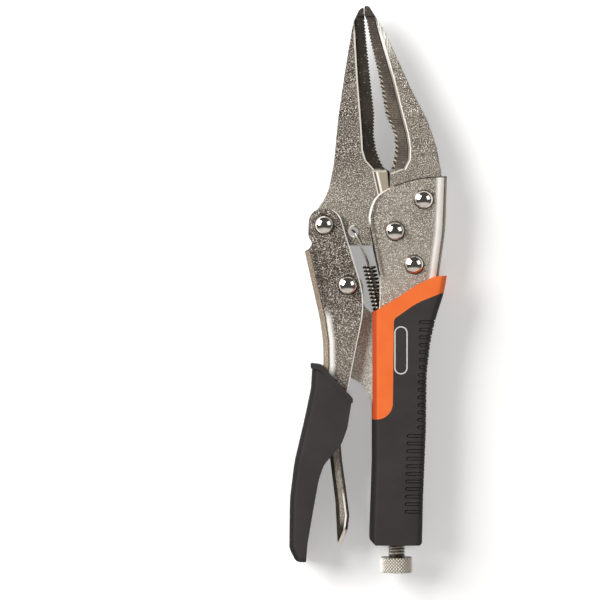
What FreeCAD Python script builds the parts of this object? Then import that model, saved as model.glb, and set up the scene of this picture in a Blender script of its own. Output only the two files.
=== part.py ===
# Long-nose locking pliers, lying flat with the jaws closed and the toggle locked.
#
# Millimetres.  +Y runs from the handles to the jaw tips, +X runs from the closing lever to
# the fixed handle, and +Z is parallel to every hinge.  The pieces are drawn about the jaw
# pivot, halfway between the two sides, and main() moves them all so that the origin is the
# centre of the lowest plane of the overall box.
import FreeCAD, Part
import math
import os

# ---------------------------------------------------------------- overall sizes
JAW_REACH = 90.4            # jaw pivot to the tips
HANDLE_REACH = 125.7        # jaw pivot to the end of the fixed grip
KNOB_GAP = 5.3              # end of the fixed grip to the knob

# ---------------------------------------------------------------- sheet and widths
SHEET = 2.0                 # steel of the frame and of the closing lever
JAW_THICK = 9.0             # forged jaws at the hub
JAW_TIP_THICK = 5.6         # forged jaws at the tips
SIDE_PLAY = 0.2             # jaw to side plate, each side
GRIP_SIDE_WALL = 2.7        # rubber on the side plates of the frame
GRIP_BACK_WALL = 2.8        # rubber on the back of the frame
GRIP_FRONT_WALL = 2.4       # rubber on the open side of the frame
LEVER_GRIP_SIDE_WALL = 2.1  # rubber on the side plates of the lever
BEND_RADIUS = 3.3           # outside of the frame's folded edges
LEVER_BEND_RADIUS = 2.8     # outside of the closing lever's folded edges
GRIP_EDGE_RADIUS = 2.6      # long edges of the grips

# ---------------------------------------------------------------- rivets, pins and fits
RIVET_R = 2.4               # shanks
RIVET_HEAD_R = 4.0
RIVET_HEAD_HEIGHT = 2.5
RUNNING = 0.06              # radial clearance of a running fit
HEAD_PLAY = 0.05            # rivet head over a plate that turns
APART = 0.3                 # between pieces that move past each other
PIN_R = 1.5                 # release lever pin
ANCHOR_R = 1.2              # spring anchor pin
HUB_R = 9.5                 # round hub of the movable jaw

# ---------------------------------------------------------------- pivots, from the jaw pivot
JAW_PIVOT = (0.0, 0.0)
LEVER_PIVOT = (-28.4, 2.4)
LINK_PIVOT = (-19.0, -21.7)
LINK_END = (0.7, -77.6)
RELEASE_PIVOT = (-24.6, -72.5)
SPRING_HOLE = (-16.3, 0.0)
SPRING_HOLE_R = 1.8
SPRING_ANCHOR = (-2.4, -39.5)
UPPER_RIVET = (11.4, 12.6)
LOWER_RIVET = (7.6, -13.4)

# ---------------------------------------------------------------- toggle link
LINK_THICK = 4.4
WINDOW_SHIFT = 1.2          # the window stands this far below the link pivot
WINDOW_PLAY = 1.35          # play of the link pivot in its window, beyond its shank
LINK_RIM = 2.6
LINK_END_R = 4.2

# ---------------------------------------------------------------- jaws
TOOTH_PITCH = 1.3
TOOTH_DEPTH = 0.7
TOOTH_CREST = 0.3           # flat left at the top of each tooth
LEDGE_STEP = 0.7            # drop from the jaw's face to its toothed bevel
BITE_HALF = 1.9             # half of the flat biting edge
PARTING_X = -2.0            # between the two jaws below the throat
THROAT_Y = 24.0
TIP_X = -12.3               # where the two tips meet

# ---------------------------------------------------------------- release lever
RELEASE_SHEET = 1.3
RELEASE_HALF = 4.2

# ---------------------------------------------------------------- adjusting screw
SCREW_X = 0.7
SCREW_R = 3.5
THREAD_DEPTH = 0.45
THREAD_PITCH = 1.25
THREAD_LENGTH = 23.0        # above the knob
KNOB_R = 6.6
KNOB_HEIGHT = 6.1
KNOB_STUB_R = 2.3
NUT_LENGTH = 10.0
FRAME_END = 2.5             # frame end to grip end

# ---------------------------------------------------------------- return spring
SPRING_OUTER_R = 2.75
WIRE_R = 0.45
COIL_WALL = 1.1             # wall of the tube that stands for the coil
SPRING_Z = 1.0
SPRING_TOP = (-10.4, -13.7)
SPRING_BOTTOM = (-6.3, -31.2)

PLATE_INNER = JAW_THICK / 2 + SIDE_PLAY
PLATE_OUTER = PLATE_INNER + SHEET
GRIP_HALF = PLATE_OUTER + GRIP_SIDE_WALL
LEVER_GRIP_HALF = PLATE_OUTER + LEVER_GRIP_SIDE_WALL
FRAME_END_Y = FRAME_END - HANDLE_REACH
WINDOW_R = RIVET_R + WINDOW_PLAY
SCREW_TIP_Y = LINK_END[1] - LINK_END_R - APART
KNOB_TOP_Y = -HANDLE_REACH - KNOB_GAP
THREAD_TOP_Y = KNOB_TOP_Y + THREAD_LENGTH

# Back edge of the frame, from the head down to the end: x, y, bend radius.
FRAME_BACK = [
    (20.9, 22.0, 0.0),
    (20.2, 0.2, 90.0),
    (17.9, -15.8, 60.0),
    (16.8, -24.4, 60.0),
    (13.5, -34.6, 60.0),
    (11.4, -43.7, 60.0),
    (9.8, -57.0, 60.0),
    (9.5, -79.6, 120.0),
    (8.4, FRAME_END_Y + 17.2, 120.0),
    (7.9, FRAME_END_Y, 0.0),
]
FRAME_FRONT_X = -6.7        # open edge of the frame inside the grip

# Back edge of the closing lever, from the head down to the end.
LEVER_BACK = [
    (-36.2, -8.0, 0.0),
    (-32.9, -22.8, 60.0),
    (-30.2, -34.6, 60.0),
    (-28.8, -44.0, 60.0),
    (-28.6, -53.5, 40.0),
    (-29.9, -65.0, 40.0),
    (-32.6, -76.0, 50.0),
    (-36.4, -90.0, 60.0),
    (-38.8, -105.0, 60.0),
    (-39.8, -119.0, 0.0),
]
# Open edge of the closing lever, from the end up to the head.
LEVER_OPEN = [
    (-35.9, -119.0, 0.0),
    (-34.9, -112.0, 30.0),
    (-33.0, -102.0, 30.0),
    (-31.2, -95.6, 10.0),
    (-24.6, -86.8, 10.0),
    (-21.8, -80.0, 12.0),
    (-19.4, -66.0, 12.0),
    (-15.3, -45.3, 60.0),
    (-12.7, -33.0, 40.0),
    (-12.9, -24.0, 30.0),
    (-18.5, -5.6, 60.0),
]


def up_jaw(share):
    """Height of a station on the jaws, as a share of the way from the throat to the tips."""
    return THROAT_Y + share * (JAW_REACH - THROAT_Y)


# Toothed side of each jaw, from the throat to the tip: y, gap edge x, ledge x.
MOVABLE_BITE = [
    (up_jaw(0.015), -3.9, -8.6),
    (up_jaw(0.066), -5.8, -11.6),
    (up_jaw(0.13), -7.4, -12.9),
    (up_jaw(0.22), -8.4, -13.2),
    (up_jaw(0.346), -8.2, -13.8),
    (up_jaw(0.578), -9.9, -15.0),
    (up_jaw(0.783), -11.3, -15.8),
    (up_jaw(0.94), -12.2, -16.3),
]
FIXED_BITE = [
    (up_jaw(0.015), -1.5, 3.3),
    (up_jaw(0.069), -0.5, 5.2),
    (up_jaw(0.139), 0.1, 5.4),
    (up_jaw(0.232), -0.4, 4.4),
    (up_jaw(0.343), -3.6, 2.4),
    (up_jaw(0.578), -6.4, -1.5),
    (up_jaw(0.783), -9.6, -5.4),
    (up_jaw(0.94), -11.7, -8.3),
]


def vec(point, z=0.0):
    return FreeCAD.Vector(point[0], point[1], z)


def outline(corners):
    """Closed wire in the XY plane through corners (x, y, radius), each rounded by its radius."""
    count = len(corners)
    starts = []
    ends = []
    middles = []
    for i in range(count):
        here = vec(corners[i])
        back = vec(corners[i - 1]) - here
        ahead = vec(corners[(i + 1) % count]) - here
        radius = corners[i][2]
        inside = back.getAngle(ahead)
        if radius <= 0.0 or inside > math.pi - 1e-4:
            starts.append(here)
            ends.append(here)
            middles.append(None)
            continue
        reach = radius / math.tan(inside / 2)
        limit = 0.48 * min(back.Length, ahead.Length)
        if reach > limit:
            radius = radius * limit / reach
            reach = limit
        back.normalize()
        ahead.normalize()
        bisector = back + ahead
        bisector.normalize()
        centre = here + bisector * (radius / math.sin(inside / 2))
        starts.append(here + back * reach)
        ends.append(here + ahead * reach)
        middles.append(centre - bisector * radius)
    edges = []
    for i in range(count):
        if middles[i] is not None:
            edges.append(Part.Arc(starts[i], middles[i], ends[i]).toShape())
        following = starts[(i + 1) % count]
        if (following - ends[i]).Length > 1e-6:
            edges.append(Part.LineSegment(ends[i], following).toShape())
    return Part.Wire(edges)


def plate(corners, low, high):
    """Flat solid with a rounded outline, between two heights."""
    face = Part.Face(outline(corners))
    solid = face.extrude(FreeCAD.Vector(0, 0, high - low))
    solid.translate(FreeCAD.Vector(0, 0, low))
    return solid


def disc(centre, radius, low, high):
    return Part.makeCylinder(radius, high - low, vec(centre, low))


def box(x_low, x_high, y_low, y_high, z_low, z_high):
    corner = FreeCAD.Vector(x_low, y_low, z_low)
    return Part.makeBox(x_high - x_low, y_high - y_low, z_high - z_low, corner)


def shifted(corners, dx):
    """The same corners moved sideways."""
    return [(x + dx, y, radius) for x, y, radius in corners]


def round_edges(solid, corners, half, radius):
    """Round the long edges of a plate that follow the line through the corners."""
    wire = Part.makePolygon([vec(corner) for corner in corners])
    chosen = []
    for edge in solid.Edges:
        box_z = edge.BoundBox
        flat = box_z.ZMax - box_z.ZMin < 1e-6 and abs(abs(box_z.ZMax) - half) < 1e-6
        if not flat:
            continue
        middle = edge.valueAt((edge.FirstParameter + edge.LastParameter) / 2)
        foot = Part.Vertex(middle.x, middle.y, 0.0)
        if wire.distToShape(foot)[0] < 1.2:
            chosen.append(edge)
    return solid.makeFillet(radius, chosen)


# ---------------------------------------------------------------- folded channels
def frame_envelope():
    """Outside of the frame: the U-channel before its inside is opened."""
    front = [
        (FRAME_FRONT_X, FRAME_END_Y, 0.0),
        (FRAME_FRONT_X, -33.0, 2.0),
        (-6.2, -28.0, 8.0),
        (-6.2, -17.4, 12.0),
        (-8.2, -9.0, 30.0),
        (-11.0, 5.6, 9.0),
        (-8.8, 13.6, 9.0),
        (-1.9, 17.6, 12.0),
        (9.0, 21.4, 40.0),
    ]
    solid = plate(FRAME_BACK + front, -PLATE_OUTER, PLATE_OUTER)
    return round_edges(solid, FRAME_BACK, PLATE_OUTER, BEND_RADIUS)


def frame_shell():
    back = shifted(FRAME_BACK, -SHEET)
    back[0] = (back[0][0], 40.0, 0.0)
    back[-1] = (back[-1][0], FRAME_END_Y - 10.0, 0.0)
    inside = plate(back + [(-40.0, FRAME_END_Y - 10.0, 0.0), (-40.0, 40.0, 0.0)],
                   -PLATE_INNER, PLATE_INNER)
    solid = frame_envelope().cut(inside)
    for centre in (JAW_PIVOT, UPPER_RIVET, LOWER_RIVET):
        solid = solid.cut(disc(centre, RIVET_R, -PLATE_OUTER, PLATE_OUTER))
    return solid.cut(disc(SPRING_ANCHOR, ANCHOR_R, -PLATE_OUTER, PLATE_OUTER))


def lever_envelope():
    """Outside of the closing lever before its inside is opened."""
    top = LEVER_BACK[0]
    second = LEVER_BACK[1]
    slope = (top[0] - second[0]) / (top[1] - second[1])
    end_y = LEVER_BACK[-1][1]
    above = (top[0] + 20.0 * slope, top[1] + 20.0, 0.0)
    blank = plate([above] + LEVER_BACK[1:] + [(10.0, end_y, 0.0), (10.0, above[1], 0.0)],
                  -PLATE_OUTER, PLATE_OUTER)
    blank = round_edges(blank, [above] + LEVER_BACK[1:], PLATE_OUTER, LEVER_BEND_RADIUS)
    ear_x = LEVER_PIVOT[0]
    ear_y = LEVER_PIVOT[1]
    head = [
        (ear_x + 5.6, ear_y + 6.4, 6.0),
        (ear_x - 6.0, ear_y + 6.4, 6.0),
        (ear_x - 6.4, ear_y - 4.0, 4.0),
        (ear_x - 4.6, ear_y - 7.4, 2.5),
        (top[0] + 1.6, top[1] + 0.8, 0.6),
        (top[0] - 16.0, top[1] - 8.0, 0.0),
        (top[0] - 16.0, end_y, 0.0),
    ]
    return blank.common(plate(LEVER_OPEN + head, -PLATE_OUTER, PLATE_OUTER))


def lever_shell():
    back = shifted(LEVER_BACK, SHEET)
    back[0] = (back[0][0], back[0][1] + 0.6, 0.0)
    end = (back[-1][0], back[-1][1] - 10.0, 0.0)
    around = [end, (30.0, end[1], 0.0), (30.0, 30.0, 0.0), (-60.0, 30.0, 0.0),
              (-60.0, back[0][1], 0.0)]
    inside = plate(back[:-1] + around, -PLATE_INNER, PLATE_INNER)
    solid = lever_envelope().cut(inside)
    solid = solid.cut(disc(LEVER_PIVOT, RIVET_R + RUNNING, -PLATE_OUTER, PLATE_OUTER))
    solid = solid.cut(disc(LINK_PIVOT, RIVET_R, -PLATE_OUTER, PLATE_OUTER))
    return solid.cut(disc(RELEASE_PIVOT, PIN_R, -PLATE_OUTER, PLATE_OUTER))


# ---------------------------------------------------------------- jaws
def jaw_side_profile():
    """Side view of the jaws, thick at the hub and slim at the tips, across all of X."""
    half = JAW_THICK / 2
    tip = JAW_TIP_THICK / 2
    points = [(-30.0, -half), (THROAT_Y, -half), (JAW_REACH + 1, -tip), (JAW_REACH + 1, tip),
              (THROAT_Y, half), (-30.0, half), (-30.0, -half)]
    wire = Part.makePolygon([FreeCAD.Vector(-60.0, y, z) for y, z in points])
    return Part.Face(wire).extrude(FreeCAD.Vector(120.0, 0, 0))


def jaw_half_at(y):
    """Half of the jaw's thickness at a station along it."""
    share = max(0.0, min(1.0, (y - THROAT_Y) / (JAW_REACH + 1 - THROAT_Y)))
    return JAW_THICK / 2 + share * (JAW_TIP_THICK - JAW_THICK) / 2


def bevel_cutter(bite, side):
    """Solid above the toothed bevel; side is +1 for the front face and -1 for the back."""
    sections = []
    for y, gap_x, ledge_x in bite:
        top = jaw_half_at(y) + 2.0
        step = jaw_half_at(y) - LEDGE_STEP
        edge = min(BITE_HALF, step - 0.3)
        over = math.copysign(3.0, gap_x - ledge_x)
        beyond = edge + (edge - step) * over / (gap_x - ledge_x)
        section = [(ledge_x, step), (gap_x + over, beyond), (gap_x + over, top), (ledge_x, top),
                   (ledge_x, step)]
        if side * over > 0:
            section.reverse()
        sections.append(Part.makePolygon([FreeCAD.Vector(x, y, side * z) for x, z in section]))
    return Part.makeLoft(sections, True, True)


def bite_at(bite, y):
    """Gap edge x of a jaw at a station along it."""
    for low, high in zip(bite, bite[1:]):
        if y <= high[0]:
            share = (y - low[0]) / (high[0] - low[0])
            return low[1] + share * (high[1] - low[1]), low[2] + share * (high[2] - low[2])
    return bite[-1][1], bite[-1][2]


def tooth_grooves(bite):
    """V-grooves across the toothed side of a jaw, one for every tooth."""
    grooves = []
    half = TOOTH_PITCH - TOOTH_CREST
    y = bite[0][0] + TOOTH_PITCH
    while y < bite[-1][0] - TOOTH_PITCH / 2:
        gap_x, ledge_x = bite_at(bite, y)
        into = math.copysign(TOOTH_DEPTH, ledge_x - gap_x)
        out = gap_x - into
        points = [(gap_x + into, y), (out, y + half), (out, y - half), (gap_x + into, y)]
        wire = Part.makePolygon([FreeCAD.Vector(px, py, -6.0) for px, py in points])
        grooves.append(Part.Face(wire).extrude(FreeCAD.Vector(0, 0, 12.0)))
        y += TOOTH_PITCH
    return Part.makeCompound(grooves)


def movable_jaw():
    bite = [(gap_x, y, 4.0) for y, gap_x, ledge_x in MOVABLE_BITE]
    corners = [
        (PARTING_X - APART / 2, 6.0, 0.0),
        (PARTING_X - APART / 2, THROAT_Y, 0.5),
    ] + bite + [
        (TIP_X - APART / 2, JAW_REACH - 3.0, 1.0),
        (TIP_X - APART / 2, JAW_REACH - 0.3, 0.5),
        (-14.4, JAW_REACH - 1.6, 2.0),
        (-16.5, JAW_REACH - 6.0, 4.0),
        (-17.2, JAW_REACH - 9.0, 8.0),
        (-20.3, up_jaw(0.578), 60.0),
        (-22.7, up_jaw(0.33), 60.0),
        (-24.5, up_jaw(0.045), 40.0),
        (-27.0, 14.7, 20.0),
        (-33.2, 5.8, 2.5),
        (-33.0, -1.0, 4.0),
        (-27.5, -3.4, 4.0),
        (-18.5, -5.6, 6.0),
        (-6.0, -5.6, 0.0),
        (0.0, 0.0, 0.0),
    ]
    half = JAW_THICK / 2
    solid = plate(corners, -half, half).fuse(disc(JAW_PIVOT, HUB_R, -half, half))
    return finish_jaw(solid, MOVABLE_BITE,
                      [(JAW_PIVOT, RIVET_R + RUNNING), (LEVER_PIVOT, RIVET_R),
                       (SPRING_HOLE, SPRING_HOLE_R)])


def fixed_jaw():
    bite = [(gap_x, y, 4.0) for y, gap_x, ledge_x in FIXED_BITE]
    back = shifted(FRAME_BACK[:3], -SHEET - APART)
    corners = [
        (PARTING_X + APART / 2, 0.0, 0.0),
        (PARTING_X + APART / 2, THROAT_Y - 0.6, 0.5),
    ] + bite + [
        (TIP_X + APART / 2, JAW_REACH - 3.0, 1.0),
        (TIP_X + APART / 2, JAW_REACH, 0.3),
        (-10.4, JAW_REACH, 1.4),
        (-7.9, JAW_REACH - 4.0, 3.0),
        (-3.6, up_jaw(0.834), 20.0),
        (6.2, up_jaw(0.506), 40.0),
        (13.3, up_jaw(0.298), 40.0),
        (16.6, up_jaw(0.15), 30.0),
        (back[0][0], THROAT_Y - 0.6, 1.0),
        (back[1][0], back[1][1], 0.0),
        (back[2][0], back[2][1] + 0.8, 2.0),
        (12.4, -18.6, 3.0),
        (4.6, -18.4, 4.0),
        (3.2, -12.0, 2.0),
        (0.0, 0.0, 0.0),
    ]
    half = JAW_THICK / 2
    solid = plate(corners, -half, half).cut(disc(JAW_PIVOT, HUB_R + APART, -half, half))
    return finish_jaw(solid, FIXED_BITE, [(UPPER_RIVET, RIVET_R), (LOWER_RIVET, RIVET_R)])


def finish_jaw(solid, bite, holes):
    """Slim the jaw towards its tip, bevel and tooth its inner side, and bore it.

    Two grooves that meet at a corner can leave a speck, so the jaw is the largest solid.
    """
    solid = solid.common(jaw_side_profile())
    for side in (1, -1):
        solid = solid.cut(bevel_cutter(bite, side))
    solid = solid.cut(tooth_grooves(bite))
    for centre, radius in holes:
        solid = solid.cut(disc(centre, radius, -JAW_THICK, JAW_THICK))
    return max(solid.Solids, key=lambda piece: piece.Volume)


# ---------------------------------------------------------------- rivets and pins
def rivet(centre, head_z):
    """Shank with a domed head each side; head_z is the underside of the heads."""
    solid = disc(centre, RIVET_R, -head_z - 0.5, head_z + 0.5)
    ball_r = (RIVET_HEAD_R ** 2 + RIVET_HEAD_HEIGHT ** 2) / (2 * RIVET_HEAD_HEIGHT)
    for side in (1, -1):
        ball = Part.makeSphere(ball_r, vec(centre, side * (head_z + RIVET_HEAD_HEIGHT - ball_r)))
        low = min(side * head_z, side * (head_z + 10))
        solid = solid.fuse(ball.common(disc(centre, RIVET_HEAD_R + 1, low, low + 10)))
    return solid.removeSplitter()


def jaw_pivot_rivet():
    return rivet(JAW_PIVOT, PLATE_OUTER)


def fixed_jaw_rivet_upper():
    return rivet(UPPER_RIVET, PLATE_OUTER)


def fixed_jaw_rivet_lower():
    return rivet(LOWER_RIVET, PLATE_OUTER)


def lever_pivot_rivet():
    return rivet(LEVER_PIVOT, PLATE_OUTER + HEAD_PLAY)


def link_pivot_rivet():
    return rivet(LINK_PIVOT, PLATE_OUTER)


def release_lever_pin():
    return disc(RELEASE_PIVOT, PIN_R, -PLATE_OUTER, PLATE_OUTER)


def spring_anchor_pin():
    return disc(SPRING_ANCHOR, ANCHOR_R, -PLATE_OUTER, PLATE_OUTER)


# ---------------------------------------------------------------- link and release lever
def toggle_link():
    window = (LINK_PIVOT[0], LINK_PIVOT[1] - WINDOW_SHIFT)
    eye_r = WINDOW_R + LINK_RIM
    corners = [
        (window[0] + eye_r, window[1], 0.0),
        (-12.6, -29.8, 4.0),
        (-8.8, -33.4, 4.0),
        (-6.8, -38.0, 12.0),
        (LINK_END[0] + LINK_END_R, LINK_END[1] + 6.0, 12.0),
        (LINK_END[0] + LINK_END_R, LINK_END[1], 0.0),
        (LINK_END[0] - LINK_END_R, LINK_END[1], 0.0),
        (-9.7, -67.8, 10.0),
        (-13.4, -61.0, 8.0),
        (-19.0, -58.2, 4.0),
        (-23.6, -57.4, 2.0),
        (-24.6, -50.0, 12.0),
        (window[0] - eye_r, window[1], 0.0),
    ]
    half = LINK_THICK / 2
    solid = plate(corners, -half, half)
    solid = solid.fuse(disc(window, eye_r, -half, half))
    solid = solid.fuse(disc(LINK_END, LINK_END_R, -half, half))
    return solid.cut(disc(window, WINDOW_R, -half, half)).removeSplitter()


def release_lever():
    """Small channel with its back towards the fixed handle and a bevelled end."""
    back = [
        (-22.6, -59.2, 0.0),
        (-21.6, -66.0, 10.0),
        (-22.2, -80.0, 30.0),
        (-21.2, -92.0, 30.0),
        (-19.6, -103.7, 30.0),
        (-18.3, -114.0, 8.0),
        (-19.0, -119.8, 0.0),
        (-21.9, -126.4, 0.8),
    ]
    front = [
        (-23.0, -124.6, 1.0),
        (-23.8, -109.1, 30.0),
        (-26.0, -91.4, 30.0),
        (-28.0, -80.0, 10.0),
        (-27.6, -70.0, 8.0),
        (-25.6, -59.2, 1.0),
    ]
    inside = shifted(back, -RELEASE_SHEET)
    inside[0] = (inside[0][0], -50.0, 0.0)
    inside[-1] = (inside[-1][0], -126.0, 0.0)
    hollow = plate(inside + [(-60.0, -126.0, 0.0), (-60.0, -50.0, 0.0)],
                   RELEASE_SHEET - RELEASE_HALF, RELEASE_HALF - RELEASE_SHEET)
    solid = plate(back + front, -RELEASE_HALF, RELEASE_HALF)
    solid = round_edges(solid, back[1:6], RELEASE_HALF, 1.2).cut(hollow)
    return solid.cut(disc(RELEASE_PIVOT, PIN_R + RUNNING, -RELEASE_HALF, RELEASE_HALF))


# ---------------------------------------------------------------- screw, knob and nut
def turned(profile, x):
    """Solid turned about a line along Y at x, from its half profile (radius, y)."""
    points = [FreeCAD.Vector(x + radius, y, 0.0) for radius, y in profile]
    wire = Part.makePolygon(points + [points[0]])
    return Part.Face(wire).revolve(FreeCAD.Vector(x, 0, 0), FreeCAD.Vector(0, 1, 0), 360)


def adjusting_screw():
    stub_end = KNOB_TOP_Y - KNOB_HEIGHT + 1.2
    profile = [(0.0, SCREW_TIP_Y), (SCREW_R - 1.0, SCREW_TIP_Y), (SCREW_R, SCREW_TIP_Y - 1.0),
               (SCREW_R, THREAD_TOP_Y)]
    y = THREAD_TOP_Y
    while y - THREAD_PITCH > KNOB_TOP_Y:
        profile.append((SCREW_R - THREAD_DEPTH, y - THREAD_PITCH / 2))
        profile.append((SCREW_R, y - THREAD_PITCH))
        y -= THREAD_PITCH
    profile += [(SCREW_R - THREAD_DEPTH, KNOB_TOP_Y + RUNNING),
                (KNOB_STUB_R, KNOB_TOP_Y + RUNNING), (KNOB_STUB_R, stub_end), (0.0, stub_end)]
    return turned(profile, SCREW_X)


def screw_knob():
    bevel = 0.6
    end = KNOB_TOP_Y - KNOB_HEIGHT
    bore = KNOB_STUB_R + RUNNING
    bore_end = end + 1.2 - RUNNING
    profile = [(bore, KNOB_TOP_Y), (KNOB_R - bevel, KNOB_TOP_Y), (KNOB_R, KNOB_TOP_Y - bevel),
               (KNOB_R, end + bevel), (KNOB_R - bevel, end), (0.0, end), (0.0, bore_end),
               (bore, bore_end)]
    return turned(profile, SCREW_X)


def screw_nut():
    back_x = FRAME_BACK[-1][0] - SHEET
    solid = box(FRAME_FRONT_X, back_x, FRAME_END_Y, FRAME_END_Y + NUT_LENGTH,
                -PLATE_INNER, PLATE_INNER)
    hole = Part.makeCylinder(SCREW_R + RUNNING, NUT_LENGTH + 2,
                             FreeCAD.Vector(SCREW_X, FRAME_END_Y - 1, 0), FreeCAD.Vector(0, 1, 0))
    return solid.cut(hole)


# ---------------------------------------------------------------- return spring
def wire_run(points):
    """Round wire through the points, with round corners."""
    solid = Part.makeSphere(WIRE_R, points[0])
    for start, end in zip(points, points[1:]):
        along = end - start
        solid = solid.fuse(Part.makeCylinder(WIRE_R, along.Length, start, along))
        solid = solid.fuse(Part.makeSphere(WIRE_R, end))
    return solid


def return_spring():
    """Outer shape of the coil, with the upper hook through the jaw and a loop round the pin."""
    top = vec(SPRING_TOP, SPRING_Z)
    bottom = vec(SPRING_BOTTOM, SPRING_Z)
    along = bottom - top
    coil = Part.makeCylinder(SPRING_OUTER_R, along.Length, top, along)
    coil = coil.cut(Part.makeCylinder(SPRING_OUTER_R - COIL_WALL, along.Length, top, along))
    over = JAW_THICK / 2 + WIRE_R + 0.15
    side = FreeCAD.Vector(along.y, -along.x, 0)
    side.normalize()
    rim = side * (SPRING_OUTER_R - COIL_WALL / 2)
    into = along / along.Length
    hook = wire_run([vec(SPRING_HOLE, 1.0), vec(SPRING_HOLE, over), vec((-13.1, -7.2), over),
                     top + into - rim])
    loop_wire_r = COIL_WALL / 2
    loop_r = ANCHOR_R + loop_wire_r + 0.15
    loop = Part.makeTorus(loop_r, loop_wire_r, vec(SPRING_ANCHOR, SPRING_Z))
    loop_side = vec((SPRING_ANCHOR[0] - loop_r, SPRING_ANCHOR[1]), SPRING_Z)
    tail = wire_run([bottom - into + rim, loop_side])
    return coil.fuse(hook).fuse(tail).fuse(loop)


# ---------------------------------------------------------------- grips
def handle_sleeve():
    """The whole grip of the fixed handle, before it is parted into its two colours."""
    left = FRAME_FRONT_X - GRIP_FRONT_WALL
    back = shifted(FRAME_BACK[3:-1], GRIP_BACK_WALL)
    back = [(FRAME_BACK[2][0] + GRIP_BACK_WALL, -17.8, 0.0)] + back
    back.append((FRAME_BACK[-1][0] + GRIP_BACK_WALL, -HANDLE_REACH, 0.0))
    front = [(left - 1.0, -HANDLE_REACH, 0.0), (left - 1.0, 4.7 - HANDLE_REACH, 30.0),
             (left, 33.7 - HANDLE_REACH, 60.0), (left, -32.6, 0.0)]
    top = [(0.3, -27.1, 20.0), (8.8, -21.4, 20.0), (15.8, -18.2, 8.0)]
    solid = plate(back + front + top, -GRIP_HALF, GRIP_HALF)
    solid = round_edges(solid, front, GRIP_HALF, GRIP_EDGE_RADIUS)
    solid = round_edges(solid, back, GRIP_HALF, GRIP_EDGE_RADIUS)
    solid = solid.cut(frame_envelope())
    slot = box(left - 2, FRAME_FRONT_X + 0.5, -76.5, -20.0, -PLATE_INNER, PLATE_INNER)
    hole = Part.makeCylinder(SCREW_R + APART, 12.0,
                             FreeCAD.Vector(SCREW_X, -HANDLE_REACH - 2, 0),
                             FreeCAD.Vector(0, 1, 0))
    return solid.cut(slot).cut(hole)


def orange_region():
    """The band along the top and the open side that is moulded in the second colour."""
    corners = [
        (-30.0, 0.0, 0.0),
        (40.0, 0.0, 0.0),
        (40.0, -18.0, 0.0),
        (19.8, -24.4, 0.0),
        (8.8, -28.6, 30.0),
        (-0.6, -35.2, 2.5),
        (-1.1, -75.3, 6.5),
        (-30.0, -75.3, 0.0),
    ]
    return plate(corners, -30.0, 30.0)


def handle_grip_orange():
    return handle_sleeve().common(orange_region())


def handle_grip_black():
    return handle_sleeve().cut(orange_region())


def lever_grip():
    """Sleeve round the closing lever, open towards the release lever, with a lip at its top."""
    left_side = [
        (-33.2, -54.6, 0.0),
        (-33.7, -63.3, 20.0),
        (-36.6, -77.0, 40.0),
        (-40.4, -93.0, 60.0),
        (-42.2, -108.0, 60.0),
        (-42.4, -127.0, 6.0),
        (-39.6, -132.6, 5.0),
        (-35.7, -132.6, 0.0),
    ]
    right_side = [
        (-35.1, -125.1, 30.0),
        (-32.6, -110.5, 60.0),
        (-30.6, -99.5, 20.0),
        (-28.6, -93.6, 8.0),
        (-21.6, -85.4, 8.0),
        (-19.2, -79.0, 12.0),
        (-17.4, -68.0, 0.5),
        (-29.8, -54.6, 1.0),
    ]
    body = plate(left_side + right_side, -LEVER_GRIP_HALF, LEVER_GRIP_HALF)
    body = round_edges(body, left_side, LEVER_GRIP_HALF, GRIP_EDGE_RADIUS)
    lip = plate([
        (-33.9, -52.9, 0.6),
        (-29.4, -53.5, 3.0),
        (-16.9, -67.2, 0.5),
        (-17.0, -69.4, 0.5),
        (-30.0, -55.5, 3.0),
        (-33.8, -55.0, 0.6),
    ], -GRIP_HALF, GRIP_HALF)
    mouth = plate([(-31.0, -40.0, 0.0), (-27.4, -64.0, 0.0), (-30.6, -80.0, 0.0),
                   (-34.4, -96.0, 0.0), (-36.6, -112.0, 0.0), (-36.8, -122.0, 0.0),
                   (-10.0, -122.0, 0.0), (-10.0, -40.0, 0.0)], -PLATE_INNER, PLATE_INNER)
    return body.fuse(lip).cut(lever_envelope()).cut(mouth)


PIECES = {
    "frame_shell": frame_shell,
    "fixed_jaw": fixed_jaw,
    "fixed_jaw_rivet_upper": fixed_jaw_rivet_upper,
    "fixed_jaw_rivet_lower": fixed_jaw_rivet_lower,
    "jaw_pivot_rivet": jaw_pivot_rivet,
    "spring_anchor_pin": spring_anchor_pin,
    "return_spring": return_spring,
    "screw_nut": screw_nut,
    "handle_grip_black": handle_grip_black,
    "handle_grip_orange": handle_grip_orange,
    "movable_jaw": movable_jaw,
    "lever_pivot_rivet": lever_pivot_rivet,
    "lever_shell": lever_shell,
    "lever_grip": lever_grip,
    "link_pivot_rivet": link_pivot_rivet,
    "release_lever_pin": release_lever_pin,
    "release_lever": release_lever,
    "toggle_link": toggle_link,
    "adjusting_screw": adjusting_screw,
    "screw_knob": screw_knob,
}


def main():
    os.makedirs("parts", exist_ok=True)
    shapes = {name: make() for name, make in PIECES.items()}
    whole = Part.makeCompound(list(shapes.values())).optimalBoundingBox(False)
    move = FreeCAD.Vector(-(whole.XMin + whole.XMax) / 2, -(whole.YMin + whole.YMax) / 2,
                          -whole.ZMin)
    for name, shape in shapes.items():
        shape.translate(move)
        shape.exportStep(os.path.join("parts", name + ".step"))
        print(name, len(shape.Solids), "solids", round(shape.Volume, 1), shape.isValid())
    print("move", [round(value, 4) for value in move])
    print("size", round(whole.XLength, 3), round(whole.YLength, 3), round(whole.ZLength, 3))


main()
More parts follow.
